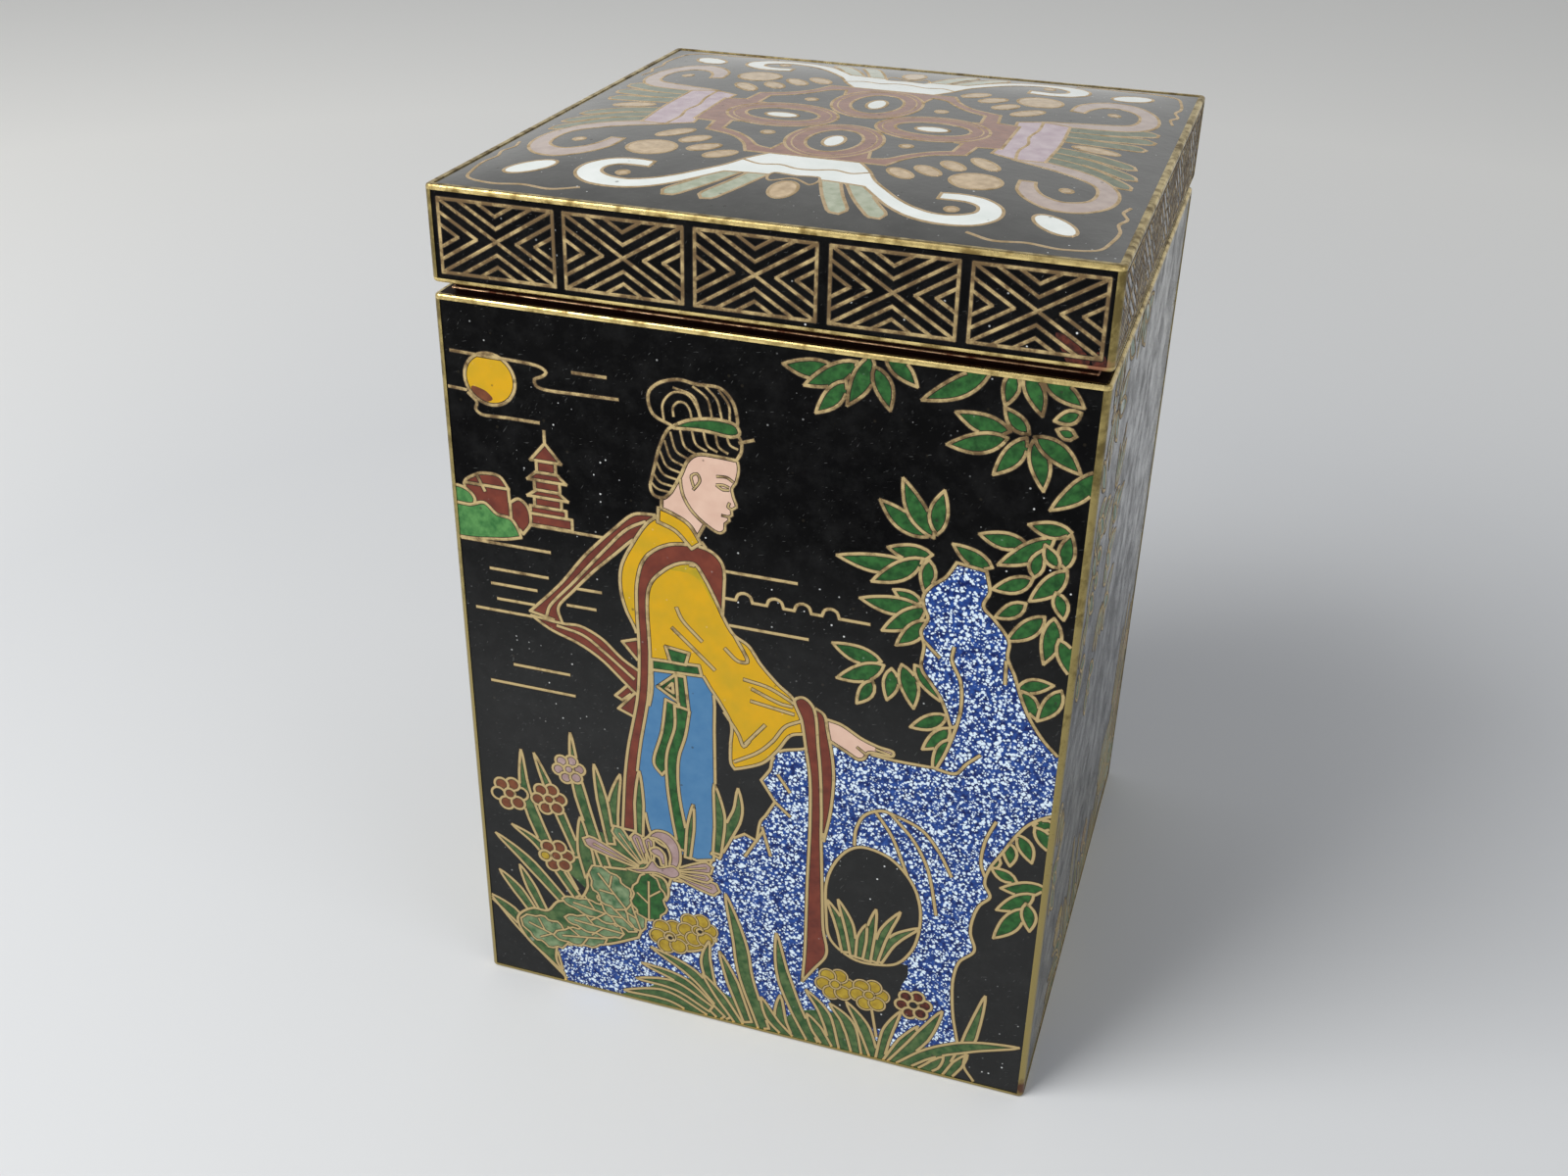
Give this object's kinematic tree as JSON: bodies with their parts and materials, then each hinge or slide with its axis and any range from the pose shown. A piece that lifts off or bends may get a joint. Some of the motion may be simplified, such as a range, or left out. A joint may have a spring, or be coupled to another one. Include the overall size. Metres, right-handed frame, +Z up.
{
  "type": "cloisonne enamel box",
  "caption": "Upright square box of enamelled copper, hollow, with gilt edge wires, a garden scene on its black ground and a shallow cap lid that lifts off.",
  "frame": {"origin": "centre of the underside, on the surface that the box stands on", "axes": "+Z up, -Y is the side with the garden scene, +X is to the right of someone who looks at that side"},
  "size_m": [0.066, 0.066, 0.0984],
  "materials": {
    "gilt_wire": "gilt brass edge wire, polished with the enamel, softly worn",
    "copper_sheet": "reddish copper, darkened, satin",
    "black_enamel": "fused glass enamel, ground flush and polished, with fine pinholes",
    "yellow_enamel": "opaque yellow enamel, ground flush and polished",
    "red_brown_enamel": "opaque red-brown enamel, ground flush and polished",
    "leaf_green_enamel": "translucent leaf green enamel over copper, ground flush and polished",
    "grass_green_enamel": "opaque grass green enamel, ground flush and polished",
    "blue_enamel": "opaque sky blue enamel, ground flush and polished",
    "speckled_blue_enamel": "deep blue enamel mottled with white, ground flush and polished",
    "white_enamel": "opaque white enamel, ground flush and polished",
    "pink_enamel": "opaque pale pink enamel, ground flush and polished",
    "lilac_enamel": "opaque lilac enamel, ground flush and polished",
    "tan_enamel": "opaque tan enamel, ground flush and polished"
  },
  "bodies": {
    "root": {"body_walls": "copper_sheet", "base_plate": "copper_sheet", "base_enamel": "black_enamel", "collar": "copper_sheet", "body_mouth_rim": "gilt_wire", "body_foot_rim": "gilt_wire", "body_corner_wire_front_left": "gilt_wire", "body_corner_wire_front_right": "gilt_wire", "body_corner_wire_back_right": "gilt_wire", "body_corner_wire_back_left": "gilt_wire", "body_enamel_front": "black_enamel", "body_enamel_right": "black_enamel", "body_enamel_back": "black_enamel", "body_enamel_left": "black_enamel", "lid_skirt": "copper_sheet", "lid_plate": "copper_sheet", "lid_top_rim": "gilt_wire", "lid_lower_rim": "gilt_wire", "lid_corner_wire_front_left": "gilt_wire", "lid_corner_wire_front_right": "gilt_wire", "lid_corner_wire_back_right": "gilt_wire", "lid_corner_wire_back_left": "gilt_wire", "lid_band_enamel_front": "black_enamel", "lid_band_enamel_right": "black_enamel", "lid_band_enamel_back": "black_enamel", "lid_band_enamel_left": "black_enamel", "lid_top_enamel": "black_enamel"}
  },
  "joints": []
}
